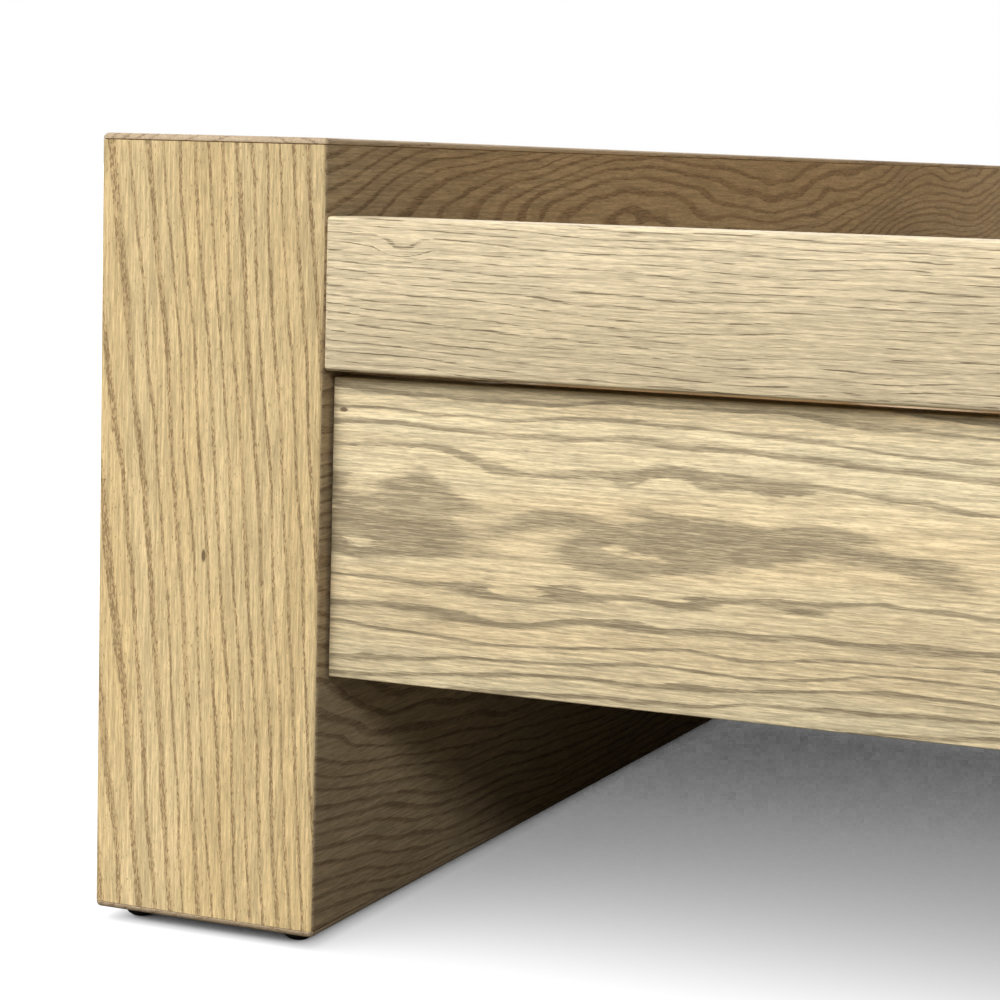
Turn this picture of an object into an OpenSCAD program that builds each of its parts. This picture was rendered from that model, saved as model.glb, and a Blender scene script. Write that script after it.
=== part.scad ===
// Platform bed with four storage drawers between two thick box-built slabs.
// Millimetres. X is the width, Y the length with the head at +Y, Z is up from the floor.

/* [Mattress] */
// Width of the mattress
mattress_w = 1524; // [1370:1:1830]
// Length of the mattress
mattress_l = 2032; // [1900:1:2100]

/* [Slabs] */
// Thickness of the foot slab and the head slab
slab_t = 111; // [100:1:130]
// Height of the foot slab above its glides
foot_slab_h = 350; // [345:1:420]
// Height of the head slab above its glides
head_slab_h = 959; // [700:1:1200]
// Thickness of the mitred boards that make a slab's shell
shell_t = 18; // [16:1:22]
// Thickness of the lipping on a slab's top and bottom
cap_t = 3; // [2:0.5:6]

/* [Rails] */
// Height of a side rail
rail_h = 66; // [64:1:90]
// Thickness of a side rail
rail_t = 28; // [24:1:34]
// Step from a slab's top down to a rail's top, on the foot slab
rail_drop = 33; // [20:1:40]

/* [Drawers] */
// Height of a drawer front
front_h = 131.5; // [125:0.5:136]
// Thickness of a drawer front
front_t = 20; // [18:1:22]
// How far a drawer front stands back from the rail's face
front_recess = 8; // [4:1:8]
// Length of a drawer box behind its front
box_l = 700; // [600:5:710]
// Length of a drawer runner
runner_l = 650; // [550:5:660]

/* [Deck] */
// Number of slats
slat_count = 14; // [10:1:18]
// Width of a slat
slat_w = 75; // [60:1:90]
// Thickness of a slat
slat_t = 18; // [15:1:22]

/* [Hidden] */
$fn = 48;
joint_gap = 0.3;            // between a rail's end and a slab
mattress_side_gap = 10;     // each side of the mattress
mattress_end_gap = 9;       // each end of the mattress
glide_h = 6;
glide_r = 8;
glide_flat = 2.8;           // radius of the flat that a worn glide stands on
nail_r = 1.2;
nail_l = 12;

inner_w = mattress_w + 2 * mattress_side_gap;   // between the rails
inner_l = mattress_l + 2 * mattress_end_gap;    // between the slabs
bed_w = inner_w + 2 * rail_t;
half_w = bed_w / 2;
half_l = inner_l / 2;
slab_z = glide_h;
rail_top = slab_z + foot_slab_h - rail_drop;
rail_z = rail_top - rail_h;

// The deck: a ledger on each rail, a beam down the middle, and slats across them
ledger_w = 30;
ledger_h = 16;
ledger_end_gap = 70;        // clears the corner brackets
deck_z = rail_z + ledger_h; // underside of the slats
beam_w = 60;
beam_h = 40;
beam_z = deck_z - beam_h;
hanger_t = 3;
hanger_l = 50;
hanger_ear = 20;
hanger_h = beam_h - 5;
leg_w = 48;
leg_y = half_l / 2;

// The divider across the bed at mid-length, which carries the inner runners and stands on the floor
divider_t = 22;
divider_gap = 4;            // from the rails' inner planes
divider_foot_w = 80;
divider_arch_h = 84;

// Screws and bolts
screw_r = 2.5;
screw_hole_r = 2.6;
screw_head_r = 4.5;
deck_screw_r = 2.1;
deck_screw_hole_r = 2.25;
deck_screw_l = 30;
divider_screw_l = 55;
bolt_r = 4;
bolt_hole_r = 4.3;
bolt_head_r = 6.5;
bolt_head_h = 8;
bolt_l = 40;                // into the slab
insert_r = 6;
insert_hole_r = 6.05;
insert_l = 22;
bracket_t = 4;
bracket_w = 60;
bracket_h = 32;
bracket_z = rail_z + 1;
bolt_x = [20, 44];          // from the rail's inner face, into the bed
rail_screw_y = [25, 45];    // from the slab's inner face, along the rail

// Drawers
front_gap = 1.5;            // between a front and its neighbour
front_top_gap = 3;          // under the rail
front_top = rail_z - front_top_gap;
front_z = front_top - front_h;
pull_h = 14;                // rebate behind the front's bottom edge, for the fingers
pull_t = 10;
box_t = 15;
box_h = 110;
box_z = front_z + 10;
bottom_t = 6;
bottom_rise = 8;            // from the box's lower edge to the underside of the bottom
groove = 6;
runner_w = 13;              // from the wall to the drawer's side
runner_h = 45;
runner_z = box_z + box_h / 2;
runner_setback = 4;         // from the back of the front

// Core frames inside the slabs
post_w = 80;
batten_h = 45;
stud_w = 45;
stud_count = 3;

sides = [["right", 1], ["left", -1]];
ends = [["foot", -1], ["head", 1]];

NODES = concat(
    [for (e = ends, part = ["outer_panel", "inner_panel", "end_right", "end_left",
                            "top_cap", "bottom_cap", "core"]) str(e[0], "_", part)],
    ["floor_glides"],
    [for (s = sides, part = ["rail", "ledger"]) str(s[0], "_", part)],
    ["corner_brackets", "slab_bolts", "threaded_inserts", "bracket_screws"],
    ["slats", "deck_screws", "centre_beam", "beam_hangers", "centre_legs", "divider"],
    ["fixed_runners"],
    [for (s = sides, e = ends, part = ["front", "back", "foot_side", "head_side", "bottom",
                                       "drawer_runners", "mid_runners"])
        str(s[0], "_", e[0], "_", part)]);
node = "all";

function wanted(name) = node == "all" || node == name;

// A box between two corners
module block(low, high) {
    translate(low) cube(high - low);
}

module oak() { color([0.80, 0.70, 0.52]) children(); }
module oak_grey() { color([0.76, 0.69, 0.55]) children(); }
module pine() { color([0.86, 0.74, 0.54]) children(); }
module birch() { color([0.87, 0.78, 0.62]) children(); }
module steel() { color([0.72, 0.73, 0.75]) children(); }
module black_nylon() { color([0.06, 0.06, 0.06]) children(); }

// ---- Slabs ------------------------------------------------------------------------------
// Each slab is drawn for the foot, with its inner face on y = -half_l, and mirrored for the head.

module at_end(end) {
    if (end > 0) mirror([0, 1, 0]) children();
    else children();
}

function slab_h(end) = end > 0 ? head_slab_h : foot_slab_h;
slab_mid_y = -half_l - slab_t / 2;
glide_side = 15;            // from a slab's face to the middle of a glide
glide_end = 17;             // from a slab's end to the middle of a glide
slab_glide_x = [0, half_w / 2, half_w - glide_end];

module slab_shell(end) {
    translate([0, 0, slab_z + cap_t])
        linear_extrude(slab_h(end) - 2 * cap_t) children();
}

module slab_glide_places() {
    for (x = slab_glide_x, sx = x > 0 ? [-1, 1] : [1], sy = [-1, 1])
        translate([sx * x, slab_mid_y + sy * (slab_t / 2 - glide_side), 0]) children();
}

module nail_holes() {
    slab_glide_places() cylinder(h = glide_h + nail_l + 0.5, r = nail_r + 0.1);
}

// A board along the slab, mitred at both ends. face = 1 is the inner face, -1 the outer one.
module slab_panel(end, face) {
    at_end(end) oak() difference() {
        slab_shell(end)
            translate([0, slab_mid_y]) polygon([
                [-half_w, face * slab_t / 2], [half_w, face * slab_t / 2],
                [half_w - shell_t, face * (slab_t / 2 - shell_t)],
                [-half_w + shell_t, face * (slab_t / 2 - shell_t)]]);
        nail_holes();
        if (face > 0) {
            bolt_places() cylinder(h = 2 * shell_t, r = insert_hole_r);
            hanger_screw_places() translate([0, 0, -1]) cylinder(h = 15, r = screw_hole_r);
        }
    }
}

// The upright board on a slab's end, mitred to the two panels
module slab_end(end, side) {
    at_end(end) oak() difference() {
        slab_shell(end)
            translate([0, slab_mid_y]) polygon([
                [side * half_w, -slab_t / 2], [side * half_w, slab_t / 2],
                [side * (half_w - shell_t), slab_t / 2 - shell_t],
                [side * (half_w - shell_t), -slab_t / 2 + shell_t]]);
        nail_holes();
    }
}

module slab_cap(end, z, holes) {
    at_end(end) oak() difference() {
        block([-half_w, slab_mid_y - slab_t / 2, z], [half_w, slab_mid_y + slab_t / 2, z + cap_t]);
        if (holes) nail_holes();
    }
}

// The ladder frame inside a slab: one glued piece with windows between its studs
module slab_core(end) {
    core_half = half_w - shell_t;
    core_t = slab_t - 2 * shell_t;
    low = slab_z + cap_t;
    high = slab_z + slab_h(end) - cap_t;
    bay = (2 * (core_half - post_w) - stud_count * stud_w) / (stud_count + 1);
    at_end(end) pine() difference() {
        block([-core_half, slab_mid_y - core_t / 2, low], [core_half, slab_mid_y + core_t / 2, high]);
        for (i = [0 : stud_count])
            translate([-core_half + post_w + i * (bay + stud_w), slab_mid_y - slab_t / 2, low + batten_h])
                cube([bay, slab_t, high - low - 2 * batten_h]);
        bolt_places() {
            cylinder(h = insert_l + 1, r = insert_hole_r);
            cylinder(h = bolt_l + 6, r = bolt_r + 0.5);
        }
    }
}

// ---- Glides -----------------------------------------------------------------------------
// A domed glide on a nail, cut flat where it meets the floor
module glide() {
    intersection() {
        translate([0, 0, sqrt(glide_r * glide_r - glide_flat * glide_flat)]) sphere(r = glide_r);
        cylinder(h = glide_h, r = glide_r + 1);
    }
    translate([0, 0, glide_h]) cylinder(h = nail_l, r = nail_r);
}

module divider_glide_places() {
    for (x = [-1, 0, 1])
        translate([x * (inner_w / 2 - divider_gap - divider_foot_w / 2), 0, 0]) children();
}

module leg_places() {
    for (sy = [-1, 1]) translate([0, sy * leg_y, 0]) children();
}

module floor_glides() {
    black_nylon() {
        for (end = [-1, 1]) at_end(end) slab_glide_places() glide();
        divider_glide_places() glide();
        leg_places() glide();
    }
}

// ---- Rails, ledgers and their steelwork ---------------------------------------------------
// The right-hand side is drawn and mirrored for the left.
module at_side(side) {
    if (side < 0) mirror([1, 0, 0]) children();
    else children();
}

module four_corners() {
    for (sx = [-1, 1], sy = [-1, 1]) scale_sign(sx, sy) children();
}

module scale_sign(sx, sy) {
    mirror([sx < 0 ? 1 : 0, 0, 0]) mirror([0, sy < 0 ? 1 : 0, 0]) children();
}

// Axis along +X at each screw of a bracket on the rail, from the rail's inner face, at y > 0
module rail_screw_places() {
    for (y = rail_screw_y)
        translate([inner_w / 2, half_l - y, bracket_z + bracket_h / 2]) rotate([0, 90, 0]) children();
}

// Axis into the slab at each bolt, from the foot slab's inner face
module bolt_places() {
    for (sx = [-1, 1], x = bolt_x)
        translate([sx * (inner_w / 2 - x), -half_l, bracket_z + bracket_h / 2])
            rotate([90, 0, 0]) children();
}

module hanger_screw_places() {
    for (sx = [-1, 1])
        translate([sx * (beam_w / 2 + hanger_t + hanger_ear / 2), -half_l, beam_z + hanger_h / 2])
            rotate([90, 0, 0]) children();
}

module rail(side) {
    at_side(side) oak_grey() difference() {
        block([inner_w / 2, -half_l + joint_gap, rail_z], [half_w, half_l - joint_gap, rail_top]);
        for (end = [-1, 1]) at_end(end) mirror([0, 1, 0])
            rail_screw_places() translate([0, 0, -1]) cylinder(h = 20, r = screw_hole_r);
    }
}

function slat_y(i) =
    let (first = half_l - ledger_end_gap - slat_w / 2)
    -first + i * 2 * first / (slat_count - 1);

module deck_screw_places(side) {
    for (i = [0 : slat_count - 1])
        translate([side * (inner_w / 2 - ledger_w / 2), slat_y(i), deck_z + slat_t]) children();
}

// Cone under z = 0 that takes a countersunk head
module countersink(r) {
    translate([0, 0, -2.6]) cylinder(h = 3.6, r1 = r, r2 = r + 3.1);
}

module ledger(side) {
    end_y = half_l - ledger_end_gap;
    pine() difference() {
        at_side(side) block([inner_w / 2 - ledger_w, -end_y, rail_z], [inner_w / 2, end_y, deck_z]);
        deck_screw_places(side)
            translate([0, 0, -deck_screw_l - 1]) cylinder(h = deck_screw_l, r = deck_screw_hole_r);
        translate([side * (inner_w / 2 - ledger_w / 2), 0, deck_z]) {
            translate([0, 0, -ledger_h - 1]) cylinder(h = ledger_h + 2, r = screw_hole_r);
            countersink(screw_hole_r);
        }
    }
}

module corner_bracket() {
    difference() {
        union() {
            block([inner_w / 2 - bracket_t, half_l - bracket_w, bracket_z],
                  [inner_w / 2, half_l, bracket_z + bracket_h]);
            block([inner_w / 2 - bracket_w, half_l - bracket_t, bracket_z],
                  [inner_w / 2, half_l, bracket_z + bracket_h]);
        }
        rail_screw_places() translate([0, 0, -2 * bracket_t]) cylinder(h = 3 * bracket_t, r = screw_hole_r);
        mirror([0, 1, 0]) bolt_places()
            translate([0, 0, -2 * bracket_t]) cylinder(h = 3 * bracket_t, r = bolt_hole_r);
    }
}

module corner_brackets() {
    steel() four_corners() corner_bracket();
}

// Socket-head bolt, drawn with its head under z = 0 and its shank going up
module slab_bolt() {
    translate([0, 0, -bracket_t - bolt_head_h]) difference() {
        cylinder(h = bolt_head_h, r = bolt_head_r);
        translate([0, 0, -1]) cylinder(h = 5.5, r = 3.46, $fn = 6);
    }
    translate([0, 0, -bracket_t]) cylinder(h = bolt_l + bracket_t, r = bolt_r);
}

module slab_bolts() {
    steel() for (end = [-1, 1]) at_end(end) bolt_places() slab_bolt();
}

module threaded_inserts() {
    color([0.75, 0.62, 0.32]) for (end = [-1, 1]) at_end(end) bolt_places() difference() {
        cylinder(h = insert_l, r = insert_r);
        translate([0, 0, -1]) cylinder(h = insert_l + 2, r = bolt_r + 0.1);
    }
}

// Pan-head screw whose head stands plate_t under z = 0
module plate_screw(plate_t, shank_l) {
    difference() {
        translate([0, 0, -plate_t - 2.5]) cylinder(h = 2.5, r = screw_head_r);
        for (turn = [0, 90]) rotate(turn)
            translate([-2.2, -0.5, -plate_t - 3.5]) cube([4.4, 1, 2.2]);
    }
    translate([0, 0, -plate_t]) cylinder(h = shank_l + plate_t, r = screw_r);
}

module bracket_screws() {
    steel() {
        four_corners() rail_screw_places() plate_screw(bracket_t, 18);
        for (end = [-1, 1]) at_end(end) hanger_screw_places() plate_screw(hanger_t, 12);
    }
}

// ---- Deck -------------------------------------------------------------------------------
module slats() {
    pine() difference() {
        for (i = [0 : slat_count - 1])
            translate([-inner_w / 2 + 2, slat_y(i) - slat_w / 2, deck_z])
                cube([inner_w - 4, slat_w, slat_t]);
        for (side = [-1, 1]) deck_screw_places(side) {
            translate([0, 0, -slat_t - 1]) cylinder(h = slat_t + 2, r = deck_screw_hole_r);
            countersink(deck_screw_hole_r);
        }
    }
}

// Countersunk screw with its head's top on z = 0 and its shank going down
module countersunk_screw(length, r) {
    difference() {
        union() {
            translate([0, 0, -length]) cylinder(h = length - 2.5, r = r);
            translate([0, 0, -2.5]) cylinder(h = 2.4, r1 = r, r2 = r + 2.1);
        }
        for (turn = [0, 90]) rotate(turn) translate([-2, -0.5, -1.8]) cube([4, 1, 3]);
    }
}

module deck_screws() {
    steel() for (side = [-1, 1]) {
        deck_screw_places(side) countersunk_screw(deck_screw_l, deck_screw_r);
        translate([side * (inner_w / 2 - ledger_w / 2), 0, deck_z])
            countersunk_screw(divider_screw_l, screw_r);
    }
}

module centre_beam() {
    end_y = half_l - hanger_t;
    pine() block([-beam_w / 2, -end_y, beam_z], [beam_w / 2, end_y, deck_z]);
}

module beam_hangers() {
    steel() for (end = [-1, 1]) at_end(end) difference() {
        union() {
            block([-beam_w / 2 - hanger_t, -half_l, beam_z - hanger_t],
                  [beam_w / 2 + hanger_t, -half_l + hanger_l, beam_z - hanger_t + hanger_h]);
            block([-beam_w / 2 - hanger_t - hanger_ear, -half_l, beam_z - hanger_t],
                  [beam_w / 2 + hanger_t + hanger_ear, -half_l + hanger_t, beam_z - hanger_t + hanger_h]);
        }
        block([-beam_w / 2, -half_l + hanger_t, beam_z],
              [beam_w / 2, -half_l + hanger_l + 1, beam_z + hanger_h]);
        hanger_screw_places() translate([0, 0, -2 * hanger_t]) cylinder(h = 3 * hanger_t, r = screw_hole_r);
    }
}

module centre_legs() {
    pine() leg_places() difference() {
        block([-leg_w / 2, -leg_w / 2, glide_h], [leg_w / 2, leg_w / 2, beam_z]);
        cylinder(h = glide_h + nail_l + 0.5, r = nail_r + 0.1);
    }
}

module divider() {
    half = inner_w / 2 - divider_gap;
    arch = half - 1.5 * divider_foot_w;
    birch() difference() {
        block([-half, -divider_t / 2, glide_h], [half, divider_t / 2, rail_z]);
        for (sx = [-1, 1])
            translate([sx * (half - divider_foot_w - arch / 2), 0, glide_h + divider_arch_h / 2 - 1])
                cube([arch, 2 * divider_t, divider_arch_h], center = true);
        translate([0, 0, rail_z]) cube([beam_w + 1, 2 * divider_t, 2 * (rail_z - beam_z)], center = true);
        divider_glide_places() cylinder(h = glide_h + nail_l + 0.5, r = nail_r + 0.1);
        for (sx = [-1, 1])
            translate([sx * (inner_w / 2 - ledger_w / 2), 0, rail_z - divider_screw_l])
                cylinder(h = divider_screw_l + 1, r = screw_hole_r);
    }
}

// ---- Runners ----------------------------------------------------------------------------
// A runner's members run along +X. Their section is drawn in Y and Z, with the wall at y = 0
// and the drawer's side at y = runner_w.
runner_x0 = inner_w / 2 - runner_setback - runner_l;

module channel(low_y, high_y, web_at_high, height, web, lip) {
    web_y = web_at_high ? high_y - web : low_y;
    block([0, web_y, -height / 2], [runner_l, web_y + web, height / 2]);
    for (sz = [-1, 1])
        translate([0, low_y, sz * (height - lip) / 2 - lip / 2]) cube([runner_l, high_y - low_y, lip]);
}

module fixed_member() { channel(0, 9, false, runner_h, 1.5, 1.5); }
module mid_member() { channel(2.5, 10, false, 37, 1.2, 1.2); }
module drawer_member() { channel(5, runner_w, true, 27, 1.5, 1.5); }

// Puts both runners of one drawer in place: on the slab's face and on the divider's face
module runner_pair(side, end) {
    wall_y = [half_l, divider_t / 2];
    at_side(side) at_end(-end) translate([runner_x0, 0, runner_z]) {
        translate([0, wall_y[0], 0]) mirror([0, 1, 0]) children();
        translate([0, wall_y[1], 0]) children();
    }
}

module fixed_runners() {
    steel() for (side = [-1, 1], end = [-1, 1]) runner_pair(side, end) fixed_member();
}

module mid_runners(side, end) { steel() runner_pair(side, end) mid_member(); }
module drawer_runners(side, end) { steel() runner_pair(side, end) drawer_member(); }

// ---- Drawers ----------------------------------------------------------------------------
// Each drawer is drawn for the right-hand side at the head end and mirrored into place.
box_x1 = inner_w / 2;
box_x0 = box_x1 - box_l;
box_y0 = divider_t / 2 + runner_w;
box_y1 = half_l - runner_w;
bottom_z = box_z + bottom_rise;

module in_bay(side, end) {
    at_side(side) at_end(-end) children();
}

// The space that the grooves leave for the bottom
module bottom_space() {
    block([box_x0 + box_t - groove, box_y0 + box_t - groove, bottom_z],
          [box_x1 + groove, box_y1 - box_t + groove, bottom_z + bottom_t]);
}

module drawer_front(side, end) {
    in_bay(side, end) oak() difference() {
        block([box_x1, front_gap, front_z],
              [half_w - front_recess, half_l - front_gap, front_top]);
        block([box_x1 - 1, -1, front_z - 1], [box_x1 + pull_t, half_l, front_z + pull_h]);
        bottom_space();
    }
}

module drawer_back(side, end) {
    in_bay(side, end) birch() difference() {
        block([box_x0, box_y0 + box_t, box_z], [box_x0 + box_t, box_y1 - box_t, box_z + box_h]);
        bottom_space();
    }
}

module drawer_side(side, end, at) {
    y = at == end ? box_y1 - box_t : box_y0;
    in_bay(side, end) birch() difference() {
        block([box_x0, y, box_z], [box_x1, y + box_t, box_z + box_h]);
        bottom_space();
    }
}

module drawer_bottom(side, end) {
    in_bay(side, end) birch() bottom_space();
}

// ---- The model --------------------------------------------------------------------------
for (e = ends) {
    if (wanted(str(e[0], "_outer_panel"))) slab_panel(e[1], -1);
    if (wanted(str(e[0], "_inner_panel"))) slab_panel(e[1], 1);
    if (wanted(str(e[0], "_end_right"))) slab_end(e[1], 1);
    if (wanted(str(e[0], "_end_left"))) slab_end(e[1], -1);
    if (wanted(str(e[0], "_top_cap"))) slab_cap(e[1], slab_z + slab_h(e[1]) - cap_t, false);
    if (wanted(str(e[0], "_bottom_cap"))) slab_cap(e[1], slab_z, true);
    if (wanted(str(e[0], "_core"))) slab_core(e[1]);
}
if (wanted("floor_glides")) floor_glides();
for (s = sides) {
    if (wanted(str(s[0], "_rail"))) rail(s[1]);
    if (wanted(str(s[0], "_ledger"))) ledger(s[1]);
}
if (wanted("corner_brackets")) corner_brackets();
if (wanted("slab_bolts")) slab_bolts();
if (wanted("threaded_inserts")) threaded_inserts();
if (wanted("bracket_screws")) bracket_screws();
if (wanted("slats")) slats();
if (wanted("deck_screws")) deck_screws();
if (wanted("centre_beam")) centre_beam();
if (wanted("beam_hangers")) beam_hangers();
if (wanted("centre_legs")) centre_legs();
if (wanted("divider")) divider();
if (wanted("fixed_runners")) fixed_runners();
for (s = sides, e = ends) {
    name = str(s[0], "_", e[0], "_");
    if (wanted(str(name, "front"))) drawer_front(s[1], e[1]);
    if (wanted(str(name, "back"))) drawer_back(s[1], e[1]);
    if (wanted(str(name, "foot_side"))) drawer_side(s[1], e[1], -1);
    if (wanted(str(name, "head_side"))) drawer_side(s[1], e[1], 1);
    if (wanted(str(name, "bottom"))) drawer_bottom(s[1], e[1]);
    if (wanted(str(name, "drawer_runners"))) drawer_runners(s[1], e[1]);
    if (wanted(str(name, "mid_runners"))) mid_runners(s[1], e[1]);
}
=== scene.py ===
import math

import bmesh
import bpy
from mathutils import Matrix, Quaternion, Vector


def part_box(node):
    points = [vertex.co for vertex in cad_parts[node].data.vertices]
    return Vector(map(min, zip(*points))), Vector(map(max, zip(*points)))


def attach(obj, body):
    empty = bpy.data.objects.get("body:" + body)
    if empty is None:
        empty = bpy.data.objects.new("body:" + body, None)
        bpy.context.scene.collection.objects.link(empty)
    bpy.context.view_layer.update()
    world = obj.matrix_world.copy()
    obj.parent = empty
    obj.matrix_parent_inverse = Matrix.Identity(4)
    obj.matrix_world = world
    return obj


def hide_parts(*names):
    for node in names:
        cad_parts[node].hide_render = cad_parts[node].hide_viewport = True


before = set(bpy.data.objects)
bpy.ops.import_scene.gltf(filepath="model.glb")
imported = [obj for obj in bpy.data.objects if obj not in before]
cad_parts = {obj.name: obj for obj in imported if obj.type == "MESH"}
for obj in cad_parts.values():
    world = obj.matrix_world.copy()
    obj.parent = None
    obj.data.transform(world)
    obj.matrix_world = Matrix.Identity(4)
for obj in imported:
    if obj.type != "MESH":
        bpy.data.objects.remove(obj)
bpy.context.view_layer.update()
MM = 0.001

# ---- Foot slab and head slab ---------------------------------------------------------------
# Each slab is a hollow box of 18 mm oak: two long panels and two upright end boards, glued at
# mitred corners round a pine frame, with 3 mm oak lippings on top and underneath. The whole
# slab is sanded with its corners eased after gluing, so the mitres hardly show.

SLAB_EASING = 2.4 * MM
GLUE_LINE = 0.45 * MM
GLUE_LINE_DEPTH = 0.8 * MM
MITRE_JOINT = 0.05 * MM


def finish_mesh(bm, name, material, body, slot, *replaced, smooth=35):
    """Makes the mesh an object that rides on its body and stands for its CAD nodes."""
    bmesh.ops.recalc_face_normals(bm, faces=bm.faces)
    mesh = bpy.data.meshes.new(name)
    bm.to_mesh(mesh)
    bm.free()
    piece = bpy.data.objects.new(name, mesh)
    bpy.context.scene.collection.objects.link(piece)
    mesh.materials.append(material)
    mesh.shade_smooth()
    mesh.set_sharp_from_angle(angle=math.radians(smooth))
    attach(piece, body)
    if replaced:
        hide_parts(*replaced)
    return piece


def sawn_block(low, high):
    """A block between two corners."""
    bm = bmesh.new()
    bmesh.ops.create_cube(bm, size=1)
    bmesh.ops.scale(bm, vec=high - low, verts=bm.verts)
    bmesh.ops.translate(bm, vec=(high + low) / 2, verts=bm.verts)
    return bm


def ease(bm, edges, radius, segments=3):
    """Rounds edges, as a sanding block does."""
    bmesh.ops.bevel(bm, geom=edges, offset=radius, offset_type="OFFSET", affect="EDGES",
                    segments=segments, profile=0.5, material=-1, clamp_overlap=True)


def saw(bm, point, normal):
    """Cuts off what lies beyond a plane and closes the cut."""
    cut = bmesh.ops.bisect_plane(bm, geom=bm.verts[:] + bm.edges[:] + bm.faces[:], dist=1e-7,
                                 plane_co=point, plane_no=normal, clear_outer=True)
    rim = [e for e in cut["geom_cut"] if isinstance(e, bmesh.types.BMEdge)]
    bmesh.ops.holes_fill(bm, edges=rim, sides=0)


class Graph:
    """Shorthand for building a material's nodes."""

    def __init__(self, name):
        self.material = bpy.data.materials.new(name)
        self.material.use_nodes = True
        self.tree = self.material.node_tree
        self.shader = self.tree.nodes["Principled BSDF"]

    def node(self, kind, settings=None, **inputs):
        made = self.tree.nodes.new("ShaderNode" + kind)
        for key, value in (settings or {}).items():
            setattr(made, key, value)
        for key, value in inputs.items():
            socket = made.inputs[int(key[1:])] if key[0] == "i" and key[1:].isdigit() else made.inputs[key]
            self.feed(socket, value)
        return made

    def feed(self, socket, value):
        if isinstance(value, bpy.types.NodeSocket):
            self.tree.links.new(value, socket)
        else:
            socket.default_value = value

    def maths(self, operation, *values):
        made = self.node("Math", {"operation": operation})
        for socket, value in zip(made.inputs, values):
            self.feed(socket, value)
        return made.outputs[0]

    def scaled(self, vector, scale):
        made = self.node("VectorMath", {"operation": "MULTIPLY"}, i0=vector, i1=scale)
        return made.outputs[0]

    def noise(self, vector, detail=2.0, roughness=0.5, seed=0.0):
        return self.node("TexNoise", {"noise_dimensions": "4D"}, Vector=vector, W=seed,
                         Scale=1.0, Detail=detail, Roughness=roughness)

    def ramp(self, value, low, high, to_low=0.0, to_high=1.0):
        made = self.node("MapRange", {"interpolation_type": "SMOOTHSTEP"}, i0=value, i1=low,
                         i2=high, i3=to_low, i4=to_high)
        return made.outputs[0]

    def blend(self, factor, a, b, mode="MIX"):
        made = self.node("Mix", {"data_type": "RGBA", "blend_type": mode}, i0=factor, i6=a, i7=b)
        return made.outputs[2]


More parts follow.
